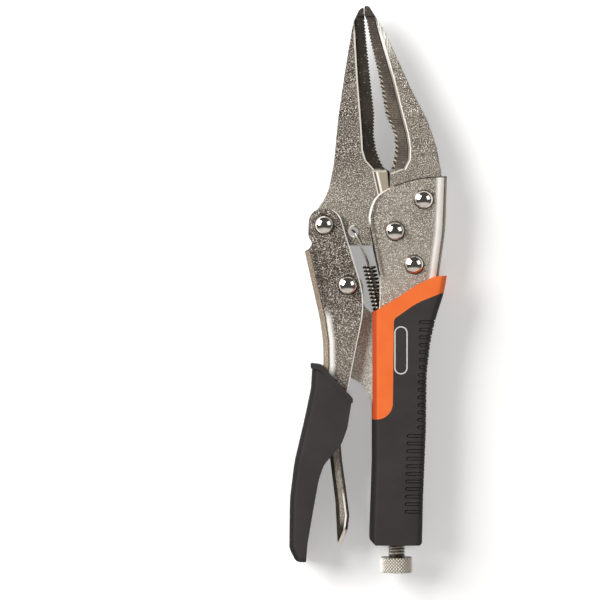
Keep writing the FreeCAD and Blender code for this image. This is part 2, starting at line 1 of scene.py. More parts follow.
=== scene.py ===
# %% [markdown]
# # Long-nose locking pliers
#
# This lesson dresses a working pair of locking pliers.  The steel parts, their holes and
# their hinges come from the CAD frame, so they already fit and move.  Blender adds what a
# hand feels and an eye sees: shot-blasted nickel, black teeth, bright rivets, the wound
# spring, the thread, the knurled knob and the two-colour rubber grips.
#
# Lengths are written in millimetres from the jaw pivot, because that is how a toolmaker
# would give them, and one helper turns them into metres in the frame.

# %% Load the working frame
import bpy
import math
from mathutils import Matrix, Vector


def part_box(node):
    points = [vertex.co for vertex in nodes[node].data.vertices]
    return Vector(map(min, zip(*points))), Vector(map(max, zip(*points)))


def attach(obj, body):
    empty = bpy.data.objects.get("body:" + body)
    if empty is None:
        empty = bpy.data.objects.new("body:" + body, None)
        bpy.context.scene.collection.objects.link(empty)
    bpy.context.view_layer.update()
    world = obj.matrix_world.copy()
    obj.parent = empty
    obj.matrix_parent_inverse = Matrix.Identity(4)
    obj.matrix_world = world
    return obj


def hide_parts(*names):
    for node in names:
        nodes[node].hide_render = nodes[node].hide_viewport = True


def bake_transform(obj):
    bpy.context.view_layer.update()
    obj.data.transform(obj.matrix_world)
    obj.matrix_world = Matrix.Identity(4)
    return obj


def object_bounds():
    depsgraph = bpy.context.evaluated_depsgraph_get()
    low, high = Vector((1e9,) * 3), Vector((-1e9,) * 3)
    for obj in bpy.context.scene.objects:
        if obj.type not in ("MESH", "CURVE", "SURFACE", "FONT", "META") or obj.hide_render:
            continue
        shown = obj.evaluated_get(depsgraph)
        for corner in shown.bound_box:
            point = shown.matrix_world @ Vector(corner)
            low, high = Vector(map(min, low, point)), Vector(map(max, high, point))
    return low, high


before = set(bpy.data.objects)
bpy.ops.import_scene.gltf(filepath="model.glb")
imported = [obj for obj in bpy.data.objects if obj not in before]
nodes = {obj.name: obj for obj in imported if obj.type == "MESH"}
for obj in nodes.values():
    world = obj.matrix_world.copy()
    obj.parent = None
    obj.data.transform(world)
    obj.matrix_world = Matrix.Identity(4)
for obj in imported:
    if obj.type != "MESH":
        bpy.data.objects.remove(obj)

cad_low, cad_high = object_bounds()
print("box in mm", [round(1000 * (b - a), 1) for a, b in zip(cad_low, cad_high)])

# %% Places are given in millimetres from the jaw pivot
MM = 0.001
pivot_low, pivot_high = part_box("jaw_pivot_rivet")
PIVOT = (pivot_low + pivot_high) / 2


def at(x, y, z=0.0):
    """A place in millimetres from the jaw pivot, halfway between the two sides, in metres."""
    return PIVOT + Vector((x, y, z)) * MM


print("jaw pivot", [round(value, 4) for value in PIVOT])

# %% [markdown]
# ## Camera and studio
#
# A tool lying flat is looked at from straight above with a long lens, which keeps both
# handles true to size.  The studio has two big soft boxes, low at the upper left and the
# upper right, and a pale wall below: a domed rivet shows all three of them, with the dark
# room between, and that is what tells the eye it is polished.  Area lamps make the boxes,
# and the world's colour, chosen by direction, makes the dark room and the pale wall.

# %% Camera straight above the tool
VIEW_WIDTH = 240.0
VIEW_PLANE = 7.0
LENS = 180.0
SENSOR = 36.0
VIEW_CENTRE = (-38.1, -27.6)

bpy.ops.object.camera_add(location=at(*VIEW_CENTRE, VIEW_PLANE + VIEW_WIDTH * LENS / SENSOR))
camera = bpy.context.object
camera.name = "camera"
camera.rotation_euler = (0, 0, 0)
camera.data.sensor_width = SENSOR
camera.data.lens = LENS
camera.data.clip_start = 0.01
camera.data.clip_end = 20.0
bpy.context.scene.camera = camera
bpy.context.scene.view_settings.view_transform = "Standard"
print("camera", round(camera.location.z, 3), "m above the floor")


# %% Soft boxes
LAMP_DISTANCE = 1.6


def soft_box(name, side, ahead, up, size, power):
    """A square lamp in the direction (side, ahead, up) from the tool, turned towards it."""
    away = Vector((side, ahead, up)).normalized()
    bpy.ops.object.light_add(type="AREA", location=PIVOT + away * LAMP_DISTANCE)
    lamp = bpy.context.object
    lamp.name = name
    lamp.data.shape = "SQUARE"
    lamp.data.size = size
    lamp.data.energy = power
    lamp.rotation_euler = away.to_track_quat("Z", "Y").to_euler()
    lamp.visible_camera = False
    print(name, "at", [round(value, 2) for value in lamp.location], power, "W")
    return lamp


soft_box("left_box", -0.83, 0.42, 0.52, 1.2, 47.0)
soft_box("right_box", 0.78, 0.34, 0.62, 1.0, 6.0)


# %% [markdown]
# ## Sums on sockets
#
# A material is a little sum that is worked out at every point of a surface.  Wiring Math
# nodes by hand hides the sum, so one small class wraps a socket and lets plain Python
# write it: `1 - mask * 0.5` adds the nodes by itself.  Every other node comes from one
# method, which first gives the node its settings and then its values and links.

# %% The wire class
class Wire:
    """A value on its way through a material; ordinary sums on it add Math nodes."""

    def __init__(self, tree, socket=None):
        self.tree = tree
        self.socket = socket

    def node(self, kind, settings=None, inputs=None, output=0):
        """Adds a node, gives it settings, then values and links, and returns one output."""
        made = self.tree.nodes.new(kind)
        for name, value in (settings or {}).items():
            if name == "stops":
                ramp = made.color_ramp
                while len(ramp.elements) < len(value):
                    ramp.elements.new(0.5)
                for stop, (position, colour) in zip(ramp.elements, value):
                    stop.position = position
                    stop.color = colour
            else:
                setattr(made, name, value)
        for name, value in (inputs or {}).items():
            if isinstance(value, Wire):
                self.tree.links.new(value.socket, made.inputs[name])
            else:
                made.inputs[name].default_value = value
        return Wire(self.tree, made.outputs[output] if len(made.outputs) else None)

    def sum(self, operation, *values):
        """One Math node."""
        return self.node("ShaderNodeMath", {"operation": operation}, dict(enumerate(values)))

    def __add__(self, other):
        return self.sum("ADD", self, other)

    __radd__ = __add__

    def __sub__(self, other):
        return self.sum("SUBTRACT", self, other)

    def __rsub__(self, other):
        return self.sum("SUBTRACT", other, self)

    def __mul__(self, other):
        return self.sum("MULTIPLY", self, other)

    __rmul__ = __mul__

    def __truediv__(self, other):
        return self.sum("DIVIDE", self, other)

    def __neg__(self):
        return self.sum("MULTIPLY", self, -1.0)

    def __abs__(self):
        return self.sum("ABSOLUTE", self)

    def parts(self):
        """The x, y and z of a place or a direction."""
        return [self.node("ShaderNodeSeparateXYZ", inputs={0: self}, output=i) for i in range(3)]

    def rise(self, low, high):
        """0 below low, 1 above high, and a smooth rise between them."""
        return self.node(
            "ShaderNodeMapRange",
            {"interpolation_type": "SMOOTHSTEP"},
            {"Value": self, "From Min": low, "From Max": high},
        )

    def mix(self, first, second):
        """A colour between first and second, with this value as the share of second."""
        return self.node(
            "ShaderNodeMix",
            {"data_type": "RGBA"},
            {"Factor": self, 6: first, 7: second},
            output=2,
        )


print("wire class ready")


# %% Colours as they are written on a paint card
def paint(code):
    """A colour such as "F47B3C" as the linear values that Blender works in."""
    shares = [int(code[i:i + 2], 16) / 255 for i in (0, 2, 4)]
    linear = [s / 12.92 if s <= 0.04045 else ((s + 0.055) / 1.055) ** 2.4 for s in shares]
    return (*linear, 1.0)


def grey(level):
    return (level, level, level, 1.0)


print("orange is", [round(value, 3) for value in paint("F47B3C")])


# %% The world: a dark room with a pale wall below the tool
world = bpy.data.worlds.new("studio")
world.use_nodes = True
world.node_tree.nodes.clear()
air = Wire(world.node_tree)
toward = air.node("ShaderNodeTexCoord", output="Generated")
ahead, up = toward.parts()[1:]

pale_wall = (-ahead).rise(0.36, 0.66)
room = pale_wall.mix((0.085, 0.080, 0.075, 1.0), (0.74, 0.71, 0.67, 1.0))
seen = air.node("ShaderNodeLightPath", output="Is Camera Ray")
mirrored = air.node("ShaderNodeLightPath", output="Is Glossy Ray")
through = air.node("ShaderNodeLightPath", output="Is Transmission Ray")
low_down = 1 - up.rise(0.02, 0.10)
backdrop = seen.sum("MAXIMUM", seen, seen.sum("MAXIMUM", mirrored, through) * low_down)
sky = backdrop.mix(room, grey(1.0))
glow = air.node("ShaderNodeBackground", inputs={"Color": sky, "Strength": 1.0})
air.node("ShaderNodeOutputWorld", inputs={"Surface": glow})
bpy.context.scene.world = world
print("world nodes", len(world.node_tree.nodes))

# %% [markdown]
# ## Floor
#
# The tool lies on a plain sheet of white paper, so wide that its edges are never in sight.
# It stays a surface that takes light and shade, because the soft shadow beside each part is
# what lays the tool down.  Where it is looked at, its shadows are lifted a little, as a
# reflector would lift them; the light it throws back on the tool is that of plain paper.

# %% A sheet of white paper
def leave_all():
    """Leaves edit mode and deselects everything."""
    if bpy.context.object and bpy.context.object.mode != "OBJECT":
        bpy.ops.object.mode_set(mode="OBJECT")
    bpy.ops.object.select_all(action="DESELECT")


leave_all()
bpy.ops.mesh.primitive_plane_add(size=6.0, location=(PIVOT.x, PIVOT.y, cad_low.z))
paper = bpy.context.object
paper.name = "paper"
bpy.ops.object.transform_apply(location=True, rotation=False, scale=False)
print("paper", [round(value, 1) for value in paper.dimensions], "m")


# %% A fresh material, and its last node
def blank(name):
    """A material with no nodes, and the wire that its sums start from."""
    material = bpy.data.materials.new(name)
    material.use_nodes = True
    material.node_tree.nodes.clear()
    return material, Wire(material.node_tree)


def close(material, wire, **sockets):
    """Ends a material in one Principled shader; names write a space as an underscore."""
    values = {name.replace("_", " "): value for name, value in sockets.items()}
    shader = wire.node("ShaderNodeBsdfPrincipled", inputs=values)
    wire.node("ShaderNodeOutputMaterial", inputs={"Surface": shader})
    print("material", material.name, len(material.node_tree.nodes), "nodes")
    return material


def spot(wire):
    """Where a point of the surface is, in millimetres from the jaw pivot."""
    place = wire.node("ShaderNodeTexCoord", output="Object")
    moved = wire.node("ShaderNodeVectorMath", {"operation": "SUBTRACT"}, {0: place, 1: PIVOT})
    return wire.node("ShaderNodeVectorMath", {"operation": "SCALE"}, {0: moved, "Scale": 1 / MM})


def noise(place, size, detail=2.0, roughness=0.55):
    """Soft random values, with lumps of about this size in millimetres."""
    return place.node("ShaderNodeTexNoise", inputs={
        "Vector": place, "Scale": 1.0 / size, "Detail": detail, "Roughness": roughness})


def bump(height, depth, under=None):
    """A normal for this height, where a height of 1 is depth millimetres."""
    inputs = {"Height": height, "Distance": depth * MM, "Strength": 1.0}
    if under:
        inputs["Normal"] = under
    return height.node("ShaderNodeBump", inputs=inputs)


def worn_edge(wire, radius):
    """The normal of a corner that is rounded by this radius in millimetres."""
    return wire.node("ShaderNodeBevel", {"samples": 6}, {"Radius": radius * MM})


# %% White paper with a faint tooth
material, wire = blank("white_paper")
tooth = noise(spot(wire), 3.0, 4.0)
plain = wire.node("ShaderNodeBsdfDiffuse", inputs={"Color": tooth.mix(grey(0.84), grey(0.86))})
lift = wire.node("ShaderNodeEmission", inputs={"Color": grey(1.0), "Strength": 0.34})
lit = wire.node("ShaderNodeAddShader", inputs={0: plain, 1: lift})
seen, mirrored, through = (wire.node("ShaderNodeLightPath", output=kind) for kind in (
    "Is Camera Ray", "Is Glossy Ray", "Is Transmission Ray"))
looked_at = seen.sum("MAXIMUM", seen, seen.sum("MAXIMUM", mirrored, through))
both = wire.node("ShaderNodeMixShader", inputs={"Fac": looked_at, 1: plain, 2: lit})
wire.node("ShaderNodeOutputMaterial", inputs={"Surface": both})
paper.data.materials.append(material)
print("paper is white, and its shadows are lifted where they are looked at")

# %% [markdown]
# ## Shot-blasted nickel
#
# The folded frame and the closing lever are sheet steel that was blasted with shot and then
# plated with nickel.  The shot leaves dents of about half a millimetre, and each dent is a
# small mirror that shows either a soft box or the dark room.  So the grain is mostly a bump
# as coarse as the dents; the colour adds the dirt between them and a few bright sparks,
# which are painted highlights.  A Bevel node rounds the sheared edges; the bright lines
# along them and the bright bend are painted highlights, the dark lines and bands beside them
# are painted shade, and the grain is painted lighter in some places and darker in others.

# %% Helpers: a curve held by a ramp, a window, and the nearness of an edge
def curve_across(y, line):
    """The place across the tool of a line of (height, across), at height y."""
    low, high = line[0][0], line[-1][0]
    stops = [((height - low) / (high - low), grey((across + 50) / 100)) for height, across in line]
    read = y.node("ShaderNodeValToRGB", {"stops": stops}, {"Fac": (y - low) / (high - low)})
    return read * 100 - 50


def between(value, low, high, soft=0.15):
    """1 between low and high, and 0 outside, with soft ends."""
    return value.rise(low - soft, low + soft) * (1 - value.rise(high - soft, high + soft))


def rim_of(wire, radius):
    """1 at an edge of the plate, falling to 0 within this many millimetres of it."""
    rounded = worn_edge(wire, radius)
    flat = wire.node("ShaderNodeNewGeometry", output="Normal")
    alike = rounded.node("ShaderNodeVectorMath", {"operation": "DOT_PRODUCT"},
                         {0: rounded, 1: flat}, output="Value")
    return (1 - alike).rise(0.03, 0.13)


print("curve, window and rim ready")

# %% Shot-blasted nickel
# The first colour is for painted highlights, the second for painted shade.
PAINTED_GLINT = paint("FFFBF4")
PAINTED_SHADE = paint("352D25")
FRAME_SPINE = [(-44.0, 11.4), (-34.6, 13.5), (-24.4, 16.6), (-15.8, 18.0), (0.2, 20.1),
               (22.0, 20.9)]
FRAME_FRONT = [(-33.0, -6.7), (-28.0, -6.2), (-18.0, -6.2), (-8.5, -8.2), (3.5, -10.6),
               (5.6, -10.8), (7.6, -10.4), (10.0, -9.8), (12.8, -8.5), (14.9, -6.5), (17.0, -2.9)]
FRAME_TOP = [(-0.8, 18.0), (3.8, 19.6), (9.1, 21.0), (14.5, 21.7), (20.9, 21.9)]
LEVER_OPEN = [(-85.6, -24.1), (-79.6, -21.8), (-66.0, -19.4), (-45.3, -15.3), (-35.5, -13.3),
              (-30.4, -12.8), (-24.9, -13.1), (-20.1, -14.1), (-5.6, -18.5), (4.5, -21.5),
              (7.1, -23.1), (8.4, -25.0)]
LEVER_SPINE = [(-76.0, -32.6), (-65.0, -29.9), (-53.5, -28.7), (-44.0, -28.9), (-34.6, -30.2),
               (-22.8, -32.9), (-8.0, -36.2)]


def blasted(place, dent, dull, clean, painted_lightness=0.0):
    """The dents and the colour of blasted and plated steel, with bright sparks that are painted
    highlights; the last value paints the grain lighter, painted light.
    """
    dents = noise(place, dent * 0.8, 3.0, 0.7)
    stain = noise(place, 9.0, 3.0)
    dirt = noise(place, dent * 0.66, 1.0).rise(0.40, 0.62)
    # Bright sparks: painted highlights of dents that catch a soft box.
    spark_highlight = noise(place, dent * 0.66, 1.0, 0.5).rise(0.61, 0.69)
    colour = (dirt * 0.72 + stain * 0.4 + painted_lightness).mix(dull, clean)
    return dents, stain, (spark_highlight * 0.8).mix(colour, PAINTED_GLINT)


def folded_sheet(name, spine, inward, strip, band, marks, dull, clean):
    """Sheet folded along its spine: a dull strip, a bright bend, then the flat.

    The dull strip and a dark line at the fold are painted shade, and the bright bend is a
    painted highlight.  The inward sign points from the spine to the flat.  The band is where
    the bright bend ends, across the sheet, and where it starts and ends along it.  The marks
    take x, y and the nearness of an edge, and say where an edge gets a painted highlight,
    where painted shade lines an edge or a joint, what gets a band of painted shade and how
    much lighter the grain is painted.
    """
    material, wire = blank(name)
    place = spot(wire)
    x, y = place.parts()[:2]
    glint, edge_shade, shade, painted_lightness = marks(x, y, rim_of(wire, 0.75))
    dents, stain, colour = blasted(place, 0.52, dull, clean, painted_lightness)
    inside = (x - curve_across(y, spine)) * inward
    bend = inside.rise(strip + 0.3, strip + 0.8) * (1 - inside.rise(*band[:2]))
    bend = bend * between(y, band[2], band[3], 3.0)
    on_spine = 1 - y.rise(spine[-1][0] - 0.2, spine[-1][0] + 0.2)
    fold = between(inside, strip, strip + 0.35, 0.1) * on_spine
    outer = (1 - inside.rise(strip - 0.1, strip + 0.1)) * on_spine
    # Painted highlight on the bend; painted shade at the fold, on the outer strip and in the shade
    # band; painted shade along edges and joints; painted highlights along edges.
    colour = (bend * 0.92).mix(colour, PAINTED_GLINT)
    colour = (fold * 0.75).mix(colour, PAINTED_SHADE)
    colour = (outer * 0.6).mix(colour, paint("94836F"))
    colour = (shade * 0.6).mix(colour, PAINTED_SHADE)
    colour = (edge_shade * 0.95).mix(colour, paint("211B16"))
    colour = glint.mix(colour, PAINTED_GLINT)
    smooth = bend.sum("MAXIMUM", bend, glint)
    return close(
        material, wire,
        Base_Color=colour,
        Metallic=1.0 - smooth,
        Roughness=0.30 + stain * 0.08 + dents * 0.08 + outer * 0.15,
        Normal=bump(dents * (1 - smooth * 0.85), 0.32, worn_edge(wire, 0.6)),
    )


def frame_marks(x, y, rim):
    """The frame: its front edge gets a painted highlight on the ear and near the grip, and a band
    of painted shade runs beside it.  Painted shade lines the top, where the fixed jaw comes
    out, and the front edge lower down, and the grain is painted lighter towards the grip.
    """
    front = x - curve_across(y, FRAME_FRONT)
    on_ear = between(y, 3.5, 16.9, 2.0) * between(front, 0.1, 0.85, 0.12)
    by_grip = rim * (1 - y.rise(-19.0, -17.0)) * (1 - x.rise(-1.5, -0.5))
    top = between(curve_across(x, FRAME_TOP) - y, -0.3, 0.4, 0.1) * x.rise(-1.5, 0.5)
    low = between(front, -0.2, 0.4, 0.1) * between(y, -18.0, 2.0, 1.5)
    glint = x.sum("MAXIMUM", on_ear, by_grip)
    edge_shade = x.sum("MAXIMUM", top, low)
    shade = between(front, 1.2, 2.3, 0.7) * between(y, -18.0, 15.0, 2.0)
    return glint, edge_shade, shade, 0.17 + (1 - y.rise(-30.0, 8.0)) * 0.25


def lever_marks(x, y, rim):
    """The lever: its open edge gets a painted highlight, painted shade lines its left edges and
    lies in a band on its ear, and its grain is painted darker towards the ear.
    """
    glint = between(curve_across(y, LEVER_OPEN) - x, -0.3, 0.45, 0.1)
    edge_shade = rim * 0.8 * (1 - x.rise(-27.5, -26.0))
    fold = x - curve_across(y, LEVER_SPINE)
    shade = between(fold, 2.6, 4.6, 1.0) * between(y, -30.0, -6.0, 4.0)
    return glint, edge_shade, shade, 0.06 - y.rise(-46.0, -24.0) * 0.24


sheet_nickel = folded_sheet(
    "sheet_nickel", FRAME_SPINE, -1, 0.75, (3.3, 5.2, -60.0, 26.0),
    frame_marks, paint("2E2720"), paint("AFA699"))
lever_nickel = folded_sheet(
    "lever_nickel", LEVER_SPINE, 1, 2.0, (3.4, 5.4, -80.0, -33.0),
    lever_marks, paint("3A332B"), paint("9C9387"))

# %% [markdown]
# ## Forged jaws
#
# The jaws are forged, so their grain is coarser than on the sheet.  Their inner sides are
# milled to a sloping, black-oxidised strip with a comb of fine teeth, and the milling
# leaves a ledge between the grain and the teeth.  The ledge is painted near white, partly
# as bright milled steel and partly as a painted highlight on its rounded ridge, and the
# forging's grain is painted darker towards the tips.  The strip follows a curve, so a ramp
# holds that curve: how far across the ledge stands, for each height along the jaw.
# The distance from it then says what a point is: tooth, ledge or forging.

# %% Where the ledges run: height along the jaw, place across it
MOVABLE_LEDGE = [(25.0, -8.6), (28.4, -11.6), (32.6, -12.9), (38.6, -13.2), (47.0, -13.8),
                 (62.4, -15.0), (76.0, -15.8), (86.4, -16.3)]
FIXED_LEDGE = [(25.0, 3.3), (28.6, 5.2), (33.2, 5.4), (39.4, 4.4), (46.8, 2.4), (62.4, -1.5),
               (76.0, -5.4), (86.4, -8.3)]
FIXED_GAP = [(25.0, -1.5), (28.6, -0.5), (33.2, 0.1), (39.4, -0.4), (46.8, -3.6), (62.4, -6.4),
             (76.0, -9.6), (86.4, -11.7)]
THROAT = 24.0
TIP = 90.4
FACE_HALF = 4.5
TIP_HALF = 2.8
COMB_PITCH = 0.9
SPRING_HOLE = (-16.3, 0.0)


def tooth_highlights_and_shade(x, y, coarse):
    """Bright and black flecks where the teeth of the coarser jaw meet the gap: painted highlights
    on the teeth and painted shade between them.
    """
    if not coarse:
        return
    deep = x - curve_across(y, FIXED_GAP)
    beat = y.sum("PINGPONG", y + deep * 0.8, 1.0)
    near = (1 - deep.rise(0.9, 1.5)) * (1 - y.rise(58.0, 74.0))
    yield near * beat.rise(0.55, 0.75), paint("B5A998")
    yield near * (1 - beat.rise(0.2, 0.4)), paint("120E0B")


def jaw_steel(name, line, inward, ledge_width, ledge_milled_and_highlight, teeth_low, teeth_high, details):
    """Forged nickel with a black toothed strip; inward is +1 where the gap lies at +x.

    The details take x, y and give (share, colour) pairs that are laid over the rest.
    """
    material, wire = blank(name)
    place = spot(wire)
    x, y, z = place.parts()
    inside = (x - curve_across(y, line)) * inward
    along = y.sum("MAXIMUM", y - THROAT, 0.0)
    drop = FACE_HALF - along * ((FACE_HALF - TIP_HALF) / (TIP + 1 - THROAT)) - abs(z)
    in_throat = y.rise(THROAT + 0.2, THROAT + 0.9)
    strip = inside.rise(-0.12, 0.02) * drop.rise(0.1, 0.4) * in_throat
    teeth = strip.sum("MAXIMUM", strip, y.rise(83.6, 86.0))
    ledge = inside.rise(-ledge_width - 0.15, -ledge_width) * in_throat * (1 - teeth)
    ledge = ledge * (1 - inside.rise(-0.05, 0.05)) * (1 - y.rise(79.0, 84.0))
    corner = between(inside, -0.05, 0.35, 0.1) * teeth * (1 - y.rise(84.0, 86.0))
    comb = y.sum("PINGPONG", y - THROAT - 1.0, COMB_PITCH / 2) * (2 / COMB_PITCH)
    # The grain is painted lighter at the hub and darker from the throat on: painted shading.
    painted_lightness = 0.08 - y.rise(14.0, 30.0) * (0.25 if inward > 0 else 0.09)
    dents, stain, forging = blasted(place, 0.56, paint("2A241D"), paint("ACA396"), painted_lightness)
    pits = noise(place, 0.5, 2.0, 0.7).rise(0.3, 0.7)
    worn = noise(place, 8.0, 2.0).rise(0.38, 0.62) * (1 - y.rise(66.0, 80.0))
    scale = (comb * 0.35 + pits * 0.35 + worn * 0.3).mix(teeth_low, teeth_high)
    scale = noise(place, 0.9, 1.0).rise(0.68, 0.72).mix(scale, paint("8E8478"))
    for share, tint in tooth_highlights_and_shade(x, y, line is FIXED_LEDGE):
        scale = share.mix(scale, tint)
    scale = corner.mix(scale, paint("15110E"))
    # The ledge is painted near white, partly bright milled steel and partly a painted highlight on
    # its rounded ridge.
    colour = (ledge * 0.95).mix(teeth.mix(forging, scale), ledge_milled_and_highlight)
    flat = ledge
    for share, tint in details(x, y):
        on_face = share * (1 - drop.rise(0.1, 0.3))
        colour = on_face.mix(colour, tint)
        flat = flat.sum("MAXIMUM", flat, on_face)
    height = dents * (1 - teeth) * (1 - flat) * 0.38
    height = height + comb * teeth * 0.10 + pits * teeth * 0.12
    return close(
        material, wire,
        Base_Color=colour,
        Metallic=1.0 - teeth * 0.6 - flat * (1 - teeth) * 0.95,
        Roughness=0.30 + teeth * 0.2 + stain * 0.06,
        Normal=bump(height, 1.0, worn_edge(wire, 0.4)),
    )


def movable_details(x, y):
    """The cutter's ground block with strips of painted shade and painted highlight, its slit
    painted black as painted shadow, a painted highlight on the throat's rim, and painted shade and
    a painted highlight at the rim of the hole.
    """
    block = between(x, -8.9, -2.2, 0.1) * between(y, 12.0, 23.9, 0.1)
    vee = x + 8.9 - (23.9 - y) * 0.225
    ground = block * vee.rise(-0.1, 0.1)
    yield ground, paint("A79B89")
    # A strip of painted shade, a strip of painted highlight and a painted highlight along the
    # block's edge.
    yield ground * between(vee, 0.35, 1.1, 0.15), paint("6A5E4E")
    yield ground * between(vee, 1.2, 2.0, 0.2), PAINTED_GLINT
    yield between(vee, -0.3, 0.3, 0.1) * between(y, 12.0, 24.2, 0.2), paint("E2DACC")
    # The slit between the jaws is painted black: painted shadow.
    slit = (x + 3.2 - (24.0 - y) * 0.1).rise(-0.1, 0.1)
    yield slit * between(y, 12.0, 24.2, 0.2), paint("0E0B09")
    # A painted highlight on the throat's rim.
    yield between(y, 23.7, 24.4, 0.1) * between(x, -9.4, -3.6, 0.2), paint("CFC5B6")
    out_x, out_y = x - SPRING_HOLE[0], y - SPRING_HOLE[1]
    out = x.sum("SQRT", out_x * out_x + out_y * out_y)
    # Painted shade just inside the rim of the hole, and a painted highlight on its left side.
    yield between(out, 1.7, 2.1, 0.1), paint("5B4C3C")
    yield between(out, 1.9, 2.6, 0.15) * (1 - x.rise(-16.9, -15.9)), PAINTED_GLINT


def fixed_details(x, y):
    """A painted highlight on the rim of the throat, a duller strip on the inner side of the ledge,
    and a painted highlight on the flank by the tip.
    """
    low_rim = y - 22.9 - (x + 1.85) * 0.39
    yield between(low_rim, -0.3, 0.3, 0.1) * (1 - x.rise(3.0, 3.4)), paint("DDD4C6")
    outside = x - curve_across(y, FIXED_LEDGE)
    yield between(outside, -0.1, 0.6, 0.1) * (1 - y.rise(58.0, 76.0)), paint("8C8378")
    fade = noise(x, 1.0, 1.0)
    # A painted highlight on the flank by the tip.
    yield outside.rise(0.2, 0.6) * y.rise(66.0, 80.0) * fade.rise(0.35, 0.6) * 0.8, PAINTED_GLINT


# The ledge colours are partly bright milled steel, partly painted highlight.
movable_steel = jaw_steel("forged_movable_jaw", MOVABLE_LEDGE, 1, 0.65, paint("E0D8CB"),
                          paint("1B1713"), paint("51483E"), movable_details)
fixed_steel = jaw_steel("forged_fixed_jaw", FIXED_LEDGE, -1, 1.05, paint("FBF7F0"),
                        paint("221D18"), paint("6E6356"), fixed_details)

# %% [markdown]
# ## Small steel
#
# The toggle link is blasted like the frame but was never polished at its edges; its colour
# is painted pale and hardly metallic, painted light that lifts it in the shade it lies in.
# The pins and the nut are plain turned steel: fine lines run round them.  The release lever
# is a blasted strip with sides darkened by painted shade, one edge with a painted highlight
# and a ground bevel at its tip that is painted light, partly its ground finish and partly a
# painted highlight; its two outlines are curves again, and the distance from each says what
# a point is.

# %% Blasted link
material, wire = blank("blasted_link_painted_pale")
# The pale colour and the small Metallic are painted light, so the link shows lit though it lies in
# the shade of the lever and frame.
dents, stain, colour = blasted(spot(wire), 0.6, paint("6C665A"), paint("F8FFF2"), 0.22)
link_steel_painted_pale = close(
    material, wire,
    Base_Color=colour,
    Metallic=0.1,
    Roughness=0.30 + stain * 0.08 + dents * 0.08,
    Normal=bump(dents, 0.30, worn_edge(wire, 0.3)),
)

# %% Pins and nut
material, wire = blank("plain_turned_steel")
place = spot(wire)
drawn_out = place.node("ShaderNodeMapping", inputs={"Vector": place, "Scale": (0.3, 0.3, 4.0)})
lines = noise(drawn_out, 0.8)
plain_steel = close(
    material, wire,
    Base_Color=lines.mix(paint("77716A"), paint("B5AFA7")),
    Metallic=1.0,
    Roughness=0.30 + lines * 0.15,
    Normal=bump(lines, 0.03),
)

# %% Release lever
RELEASE_FRONT = [(-126.6, -22.6), (-124.6, -23.0), (-109.1, -23.8), (-91.4, -26.0), (-80.0, -28.0)]
RELEASE_BACK = [(-126.4, -21.9), (-119.8, -19.0), (-114.0, -18.3), (-103.7, -19.6), (-92.0, -21.2),
                (-80.0, -22.2)]
RELEASE_SHADE = paint("1C1913")

material, wire = blank("blasted_release")
place = spot(wire)
x, y = place.parts()[:2]
dents, stain, colour = blasted(place, 0.42, paint("5E5449"), paint("D2C8BA"))
from_back = curve_across(y, RELEASE_BACK) - x
from_front = x - curve_across(y, RELEASE_FRONT)
# Painted shade along both sides and over the tip, a painted highlight along the back edge, and the
# tip's bevel painted light, partly its ground finish and partly a painted highlight.
bevel = between(from_back, -0.4, 1.7, 0.1) * (1 - y.rise(-120.0, -119.4))
edge_highlight = between(from_back, 1.1, 1.8, 0.15) * between(y, -119.6, -105.0, 1.5)
by_front = 1 - from_front.rise(1.1, 1.7)
side_shade = by_front.sum("MAXIMUM", by_front, 1 - y.rise(-119.0, -114.5))
side_shade = side_shade.sum("MAXIMUM", side_shade, (1 - from_back.rise(0.9, 1.2)) * 0.7)
colour = (side_shade * 0.9).mix(colour, RELEASE_SHADE)
colour = edge_highlight.mix(colour, PAINTED_GLINT)
colour = bevel.mix(colour, paint("D6CABF"))
painted_bright = edge_highlight.sum("MAXIMUM", edge_highlight, bevel)
release_steel = close(
    material, wire,
    Base_Color=colour,
    Metallic=1.0 - painted_bright * 0.9,
    Roughness=0.30 + stain * 0.08 + dents * 0.08,
    Normal=bump(dents * (1 - painted_bright), 0.24, worn_edge(wire, 0.3)),
)

# %% [markdown]
# ## Bright rivets
#
# The five rivet heads are the only mirrors on the tool.  A mirror shows its surroundings,
# so the finish stays almost plain: nickel, a roughness close to nothing, faint finger
# marks, and a warm stain where the head meets the plate.

# %% Bright rivets
def bright(name, centre):
    """Polished nickel with a warm stain at the rim of the head round this centre."""
    material, wire = blank(name)
    place = spot(wire)
    x, y = place.parts()[:2]
    out = (x - centre[0]) * (x - centre[0]) + (y - centre[1]) * (y - centre[1])
    rim = out.rise(3.4 ** 2, 3.9 ** 2)
    smear = noise(place, 1.6, 3.0).rise(0.35, 0.75)
    colour = rim.mix(smear.mix(paint("E4E0DA"), paint("D6D0C8")), paint("6B5442"))
    return close(
        material, wire,
        Base_Color=colour,
        Metallic=1.0,
        Roughness=0.05 + smear * 0.05 + rim * 0.15,
        Normal=bump(smear, 0.01),
    )


RIVETS = {
    "jaw_pivot_rivet": (0.0, 0.0),
    "lever_pivot_rivet": (-28.4, 2.4),
    "link_pivot_rivet": (-19.0, -21.7),
    "fixed_jaw_rivet_upper": (11.4, 12.6),
    "fixed_jaw_rivet_lower": (7.6, -13.4),
}

# %% Every steel node gets its finish
finishes = {
    "frame_shell": sheet_nickel,
    "lever_shell": lever_nickel,
    "movable_jaw": movable_steel,
    "fixed_jaw": fixed_steel,
    "toggle_link": link_steel_painted_pale,
    "release_lever": release_steel,
    "release_lever_pin": plain_steel,
    "spring_anchor_pin": plain_steel,
    "screw_nut": plain_steel,
}
for node, centre in RIVETS.items():
    finishes[node] = bright("bright_" + node, centre)
for node, finish in finishes.items():
    for held in nodes[node].material_slots:
        held.material = finish
print("finished", len(finishes), "steel nodes")

